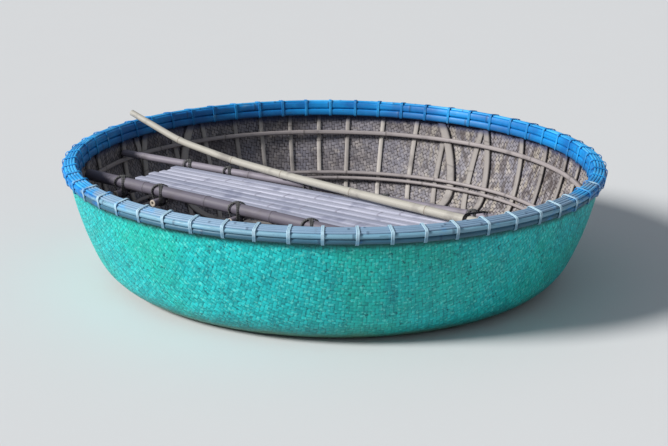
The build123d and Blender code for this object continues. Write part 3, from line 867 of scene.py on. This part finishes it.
class Finish:
    """A material built from nodes."""

    def __init__(self, name):
        self.material = bpy.data.materials.new(name)
        self.material.use_nodes = True
        self.tree = self.material.node_tree
        self.shader = next(n for n in self.tree.nodes if n.type == "BSDF_PRINCIPLED")

    def node(self, kind, feeds=(), **settings):
        made = self.tree.nodes.new("ShaderNode" + kind)
        for key, value in settings.items():
            setattr(made, key, value)
        for key, value in feeds:
            self.feed(made.inputs[key], value)
        return made

    def feed(self, socket, value):
        if isinstance(value, bpy.types.NodeSocket):
            self.tree.links.new(value, socket)
        else:
            socket.default_value = value

    def axis(self, name):
        """Place in the boat along X, Y or Z."""
        source = self.node("TexCoord").outputs["Object"]
        return self.node("SeparateXYZ", [("Vector", source)]).outputs[name]

    def mark(self, name):
        return self.node("Attribute", attribute_name=name).outputs["Fac"]

    def grain(self, scale):
        """Place along and across the fibre, stretched."""
        source = self.node("UVMap", uv_map="grain").outputs[0]
        return self.node("Mapping", [("Vector", source), ("Scale", (*scale, 1.0))]).outputs[0]

    def noise_at(self, vector, scale, detail):
        feeds = [("Vector", vector), ("Scale", scale), ("Detail", detail), ("Roughness", 0.55)]
        return self.node("TexNoise", feeds).outputs["Fac"]

    def noise(self, scale, detail=3.0):
        """Noise in the boat's space. Its scale is one number, or one for each axis."""
        even = not isinstance(scale, tuple)
        source = self.node("TexCoord").outputs["Object"]
        stretch = (1.0, 1.0, 1.0) if even else scale
        vector = self.node("Mapping", [("Vector", source), ("Scale", stretch)]).outputs[0]
        return self.noise_at(vector, scale if even else 1.0, detail)

    def fibre(self, scale, detail=4.0):
        """Noise in streaks along the fibre."""
        return self.noise_at(self.grain(scale), 1.0, detail)

    def spread(self, value, low, high):
        """Value taken from the range low to high onto 0 to 1."""
        feeds = [("Value", value), ("From Min", low), ("From Max", high)]
        return self.node("MapRange", feeds, clamp=True, interpolation_type="SMOOTHSTEP").outputs[0]

    def clamped(self, operation, a, b):
        return self.node("Math", [(0, a), (1, b)], operation=operation, use_clamp=True).outputs[0]

    def times(self, a, b):
        return self.clamped("MULTIPLY", a, b)

    def plus(self, a, b):
        return self.clamped("ADD", a, b)

    def mix(self, share, a, b):
        """From a to b. Either is a socket or a colour."""
        a, b = [srgb(value) if isinstance(value, tuple) else value for value in (a, b)]
        return self.node("Mix", [(0, share), (6, a), (7, b)], data_type="RGBA").outputs[2]

    def tint(self, colour, share, amount, other):
        """Colour turned to another by this share of the amount."""
        return self.mix(self.times(share, amount), colour, other)

    def coats(self, colour, *rows):
        """Coats over a colour. Each has a value, its range from none to full, an amount and a colour."""
        for value, low, high, amount, other in rows:
            colour = self.tint(colour, self.spread(value, low, high), amount, other)
        return colour

    def done(self, colour, rough, bump, bump_size=0.0006, strength=0.5, specular=0.4):
        """Colour, roughness and bump onto the shader."""
        self.feed(self.shader.inputs["Base Color"], colour)
        self.feed(self.shader.inputs["Roughness"], rough)
        self.shader.inputs["Specular IOR Level"].default_value = specular
        made = self.node("Bump", [("Height", bump), ("Distance", bump_size), ("Strength", strength)])
        self.feed(self.shader.inputs["Normal"], made.outputs[0])
        return self.material


def hull_paint():
    """Turquoise paint over the weave, worn on the crests, with dirt and painted shade in the gaps, a painted
    shadow under the rim, and dirt and painted shade by the water.
    """
    f = Finish("hull_paint")
    rise = f.mark("rise")
    height = f.axis("Z")
    height_above_water = f.plus(height, f.times(f.noise((6.0, 6.0, 2.0), 4.0), 0.06))
    worn = f.times(f.spread(f.noise(34.0), 0.60, 0.68), f.spread(rise, 0.75, 0.98))
    colour = f.coats(
        f.mix(f.mark("tone"), (0.04, 0.64, 0.65), (0.11, 0.77, 0.78)),
        (f.noise(2.6, 4.0), 0.42, 0.68, 0.45, (0.11, 0.72, 0.57)),
        (f.noise((26.0, 26.0, 3.0), 4.0), 0.50, 0.75, 0.45, (0.02, 0.40, 0.46)),
        (f.noise(70.0), 0.60, 0.68, 0.7, (0.02, 0.31, 0.35)),
        (f.noise(95.0, 2.0), 0.56, 0.66, 0.5, (0.42, 0.88, 0.84)),
    )
    colour = f.coats(
        f.tint(colour, worn, 0.4, (0.42, 0.56, 0.50)),
        # Darker where the floats dip under their neighbours and in the gaps between them: dirt and painted
        # shade.
        (rise, 0.80, 0.20, 0.6, (0.03, 0.34, 0.37)),
        # Darker near the water: dirt and painted shade.
        (height_above_water, 0.120, 0.045, 0.6, (0.12, 0.40, 0.36)),
        (height_above_water, 0.075, 0.036, 0.7, (0.40, 0.47, 0.36)),
        # Painted shadow of the rim: a dark band on the hull just below it.
        (height, RIM_HEIGHT - 0.044, RIM_HEIGHT - 0.018, 0.9, (0.0, 0.20, 0.21)),
    )
    rough = f.plus(f.times(f.noise(40.0), 0.3), 0.36)
    return f.done(colour, rough, f.fibre((14.0, 420.0), 3.0), specular=0.3)


def overspray_and_shade(f, colour):
    """Blue from the rim's brush on what lies just below it inside, darkened to navy as painted shade under
    the rim.
    """
    height = f.plus(f.axis("Z"), f.times(f.noise(30.0), 0.014))
    return f.coats(colour, (height, RIM_HEIGHT - 0.056, RIM_HEIGHT - 0.030, 0.85, (0.02, 0.15, 0.34)))


def hull_inside():
    """Bare weave in grey, brown and tan with gaps darkened by tar and painted shade, and with dark and dry
    runs towards high X.
    """
    f = Finish("hull_inside")
    fibre = f.fibre((10.0, 380.0))
    side = f.spread(f.axis("X"), 0.15, 0.55)
    dark = f.times(f.spread(f.noise((64.0, 64.0, 2.0), 1.0), 0.50, 0.60), side)
    dry = f.times(f.spread(f.noise((52.0, 52.0, 1.5), 1.0), 0.52, 0.62), side)
    colour = f.coats(
        f.mix(f.mark("tone"), (0.39, 0.38, 0.40), (0.57, 0.55, 0.56)),
        (f.noise(5.0, 4.0), 0.40, 0.62, 0.6, (0.50, 0.50, 0.56)),
        (fibre, 0.45, 0.7, 0.5, (0.30, 0.27, 0.28)),
        (f.noise(26.0), 0.54, 0.70, 0.5, (0.68, 0.65, 0.63)),
        (f.noise((3.0, 3.0, 9.0), 4.0), 0.52, 0.66, 0.5, (0.27, 0.24, 0.26)),
    )
    colour = f.tint(colour, dark, 0.7, (0.26, 0.22, 0.21))
    colour = f.tint(colour, dry, 0.5, (0.68, 0.65, 0.60))
    # Darker where the floats dip and in the gaps between them: tar and painted shade.
    colour = f.coats(colour, (f.mark("rise"), 0.80, 0.20, 0.85, (0.18, 0.16, 0.17)))
    rough = f.plus(f.times(f.noise(30.0), 0.35), 0.45)
    return f.done(overspray_and_shade(f, colour), rough, fibre, strength=0.6)


def bamboo(name, pale, dark, joint, streaks=0.5, stain=(0.32, 0.30, 0.31), rim_spray_and_shade=False):
    """Bamboo with streaks along the fibre, marked joints and paler cut ends; if it meets the rim, darker
    towards high X as painted shade and with the rim's overspray and painted shade below it.
    """
    f = Finish(name)
    colour = f.coats(
        f.mix(f.mark("tone"), dark, pale),
        (f.fibre((5.0, 260.0)), 0.35, 0.68, streaks, dark),
        (f.noise(14.0, 4.0), 0.50, 0.72, streaks, stain),
        (f.mark("joint"), 0.35, 1.0, 0.7, joint),
    )
    colour = f.tint(colour, f.mark("cut"), 0.8, (0.72, 0.68, 0.62))
    if rim_spray_and_shade:
        # Painted shade: darker towards high X, and navy under the rim.
        colour = overspray_and_shade(f, f.coats(colour, (f.axis("X"), 0.15, 0.55, 0.35, stain)))
    fibre = f.fibre((18.0, 700.0))
    return f.done(colour, f.plus(f.times(fibre, 0.3), 0.42), fibre, 0.0005)


def rim_paint(name, deep, bright, bare, pale, wear_end=0.88):
    """Blue paint on cane, darker low down as painted shade, and worn through to grey on the side towards the
    low Y.
    """
    f = Finish(name)
    height = f.axis("Z")
    side = f.times(f.spread(f.axis("Y"), -0.10, -0.90), 0.5)
    wear = f.plus(f.noise((16.0, 16.0, 40.0), 5.0), side)
    upper = f.spread(height, RIM_HEIGHT - 0.004, RIM_HEIGHT + 0.010)
    grey = f.mix(f.times(f.plus(f.fibre((10.0, 300.0), 3.0), 0.3), upper), bare, pale)
    colour = f.coats(
        f.mix(f.spread(f.noise(7.0, 4.0), 0.35, 0.65), deep, bright),
        (f.fibre((4.0, 240.0)), 0.42, 0.70, 0.55, deep),
        # Painted shade: darker low on the rim.
        (height, RIM_HEIGHT + 0.004, RIM_HEIGHT - 0.034, 0.8, tuple(c * 0.72 for c in deep)),
        (wear, 0.60, wear_end, 0.85, grey),
        (f.fibre((22.0, 130.0)), 0.62, 0.68, 0.45, bare),
        (f.mark("joint"), 0.3, 1.0, 0.5, (0.10, 0.18, 0.30)),
    )
    rough = f.plus(f.times(f.noise(60.0), 0.3), 0.34)
    return f.done(colour, rough, f.fibre((14.0, 520.0)))


def cord_finish(name, light, dark):
    """Twisted cord, its twist as slanting bands."""
    f = Finish(name)
    feeds = [("Vector", f.grain((1.0, 1.0))), ("Scale", 90.0), ("Distortion", 1.0)]
    band = f.node("TexWave", feeds, bands_direction="DIAGONAL").outputs["Fac"]
    colour = f.tint(f.mix(band, dark, light), f.mark("tone"), 0.3, dark)
    return f.done(colour, 0.7, band, 0.0008, 0.7, specular=0.3)


def floor_paint():
    """Plain pale paint, hardly uneven."""
    f = Finish("floor_paint")
    pale = (0.80, 0.81, 0.82)
    shade = f.tint(pale, f.noise(3.0, 2.0), 0.06, tuple(c * 0.92 for c in pale))
    f.feed(f.shader.inputs["Base Color"], shade)
    f.shader.inputs["Roughness"].default_value = 0.8
    return f.material


# The boat.
def build_hull():
    faces = (("outside", True, hull_paint()), ("inside", False, hull_inside()))
    for face, outer, finish in faces:
        hull_core(outer).make("hull_core_" + face, finish, "hull_bamboo", "hull_basket")
    for seed, (face, outer, finish) in enumerate(faces, 11):
        weave(outer, seed).make("hull_weave_" + face, finish, "hull_bamboo", "hull_basket")


def build_rim():
    """Canes, cap and lashings. Their paints are given as deep, bright, bare and pale."""
    cane = rim_paint(
        "rim_paint", (0.01, 0.39, 0.67), (0.03, 0.55, 0.84), (0.20, 0.34, 0.37), (0.52, 0.68, 0.74))
    # The cap's paint is lighter than the canes': its own paler blue and a painted highlight on the top.
    cap = rim_paint(
        "cap_paint_with_highlight", (0.10, 0.54, 0.80), (0.25, 0.69, 0.93), (0.38, 0.47, 0.56), (0.54, 0.62, 0.69))
    lashing = rim_paint(
        "lashing_paint", (0.04, 0.45, 0.72), (0.12, 0.60, 0.86), (0.46, 0.60, 0.66), (0.74, 0.84, 0.88),
        wear_end=0.85)
    seed = 100
    for place in ("outer", "inner"):
        for row in ("upper", "lower"):
            node = "rim_%s_cane_%s" % (place, row)
            rim_cane(place, row, seed).make(node + "_round", cane, "rim_bamboo", node)
            seed += 40
    rim_cap().make("rim_cap_strips", cap, "rim_bamboo", "rim_cap")
    rim_lashings().make("rim_lashing_strands", lashing, "rim_lashing", "rim_lashings")


def build_lattice():
    """Laths and hoops. Their bamboo is given as pale, dark and joints."""
    rib = bamboo("rib_bamboo", (0.72, 0.70, 0.68), (0.58, 0.56, 0.55), (0.42, 0.40, 0.39), rim_spray_and_shade=True)
    cane = bamboo("hoop_bamboo", (0.66, 0.63, 0.63), (0.49, 0.47, 0.48), (0.36, 0.34, 0.34))
    lath_family("rib_fore", FORE_LATHS, FORE_LAYER, LATTICE_TURN, FORE_FAN, 1000, rib)
    lath_family("rib_cross", CROSS_LATHS, CROSS_LAYER, LATTICE_TURN + pi / 2.0, CROSS_FAN, 2000, rib)
    for index, name in enumerate(HOOPS):
        hoop(name, 500 + index * 7).make(name + "_cane", cane, "hoop_bamboo", name)


def build_bench():
    """Poles, bearers, slats, ties and the long pole. Their bamboo is given as pale, dark and joints."""
    bench = bamboo("bench_bamboo", (0.58, 0.56, 0.60), (0.42, 0.40, 0.45), (0.30, 0.28, 0.31))
    # The front pole's bamboo is a darker copy of the bench's: painted shade.
    front = bamboo("bench_front_shaded_bamboo", (0.46, 0.44, 0.49), (0.32, 0.31, 0.36), (0.24, 0.23, 0.26))
    slat = bamboo(
        "slat_bamboo", (0.71, 0.72, 0.79), (0.54, 0.56, 0.64), (0.48, 0.48, 0.55),
        streaks=0.6, stain=(0.40, 0.42, 0.52))
    pale = bamboo(
        "long_pole_bamboo", (0.72, 0.71, 0.68), (0.57, 0.56, 0.53), (0.44, 0.40, 0.36), streaks=0.45)
    for seed, (place, finish) in enumerate((("front", front), ("back", bench)), 21):
        node = "bench_%s_pole" % place
        shape = pole(node, BENCH_TURN + POLE_SKEWS[place], POLE_RADII[place], seed)
        shape.make("bench_%s_culm" % place, finish, "bench_bamboo", node)
    for index in range(BEARER_COUNT):
        node = "bench_bearer_%d" % (index + 1)
        seed = 30 + index
        shape = pole(
            node, BENCH_TURN + pi / 2.0, BEARER_RADIUS * 0.97, seed, lambda length: cane_joints(length, seed),
            bend=0.0012, bore=0.35, ring=0.0010, sides=18, tone=0.3,
        )
        shape.make(node + "_stick", bench, "bench_bamboo", node)
    for index in range(SLAT_COUNT):
        node = "bench_slat_%d" % (index + 1)
        share = (index + 0.5) / SLAT_COUNT
        skew = POLE_SKEWS["front"] + (POLE_SKEWS["back"] - POLE_SKEWS["front"]) * share
        plank(node, BENCH_TURN + skew, 700 + 9 * index).make(node + "_plank", slat, "slat_bamboo", node)
    grey = cord_finish("grey_cord", (0.42, 0.42, 0.42), (0.16, 0.17, 0.18))
    black = cord_finish("black_cord", (0.10, 0.10, 0.11), (0.03, 0.03, 0.035))
    bench_ties().make("bench_tie_cords", grey, "cord", "bench_ties")
    long_pole().make("long_pole_culm", pale, "long_pole_bamboo", "long_pole")
    pole_tie().make("long_pole_tie_cord", black, "cord", "long_pole_tie")


# Studio.
def floor():
    """Pale floor at the water's level, with a round opening just inside the hull's skin."""
    skin = float(np.interp(0.0, line_height, line_radius)) - 0.004
    turn = 2.0 * pi * np.arange(SHELL_COLUMNS) / SHELL_COLUMNS
    radii = np.array([skin, skin + 0.05, skin + 0.3, 2.0, 4.0, 60.0])
    points = radii[:, None, None] * np.stack([np.cos(turn), np.sin(turn), 0.0 * turn], axis=-1)
    row, column = cells(len(radii) - 1, SHELL_COLUMNS)
    faces = row * SHELL_COLUMNS + column % SHELL_COLUMNS
    mesh = bpy.data.meshes.new("floor")
    mesh.from_pydata(points.reshape(-1, 3).tolist(), [], faces.tolist())
    mesh.materials.append(floor_paint())
    added("floor", mesh)


def aimed(eye, target, roll=0.0):
    turn = (Vector(target) - Vector(eye)).to_track_quat("-Z", "Y").to_matrix().to_4x4()
    return Matrix.Translation(eye) @ turn @ Matrix.Rotation(roll, 4, "Z")


def light(name, kind, place, power, colour, **settings):
    """Lamp aimed at the middle of the boat."""
    data = bpy.data.lights.new(name, kind)
    data.energy = power
    data.color = colour
    for key, value in settings.items():
        setattr(data, key, value)
    added(name, data).matrix_world = aimed(place, (0.0, 0.0, 0.2))


def studio():
    floor()
    light("key", "SUN", (-9.0, -3.6, 6.6), 5.0, (1.0, 0.97, 0.93), angle=radians(16.0))
    light("fill", "AREA", (1.2, -5.0, 2.6), 6.0, (0.92, 0.96, 1.0), shape="DISK", size=3.0)
    world = bpy.data.worlds.new("studio")
    world.use_nodes = True
    sky = world.node_tree.nodes["Background"].inputs
    sky["Color"].default_value = (0.80, 0.86, 0.95, 1.0)
    sky["Strength"].default_value = 0.33
    bpy.context.scene.world = world
    bpy.context.scene.view_settings.view_transform = "Standard"
    data = bpy.data.cameras.new("eye")
    data.lens = LENS
    camera = added("eye", data)
    camera.matrix_world = aimed(EYE, AIM, EYE_ROLL)
    bpy.context.scene.camera = camera


build_hull()
build_rim()
build_lattice()
build_bench()
studio()
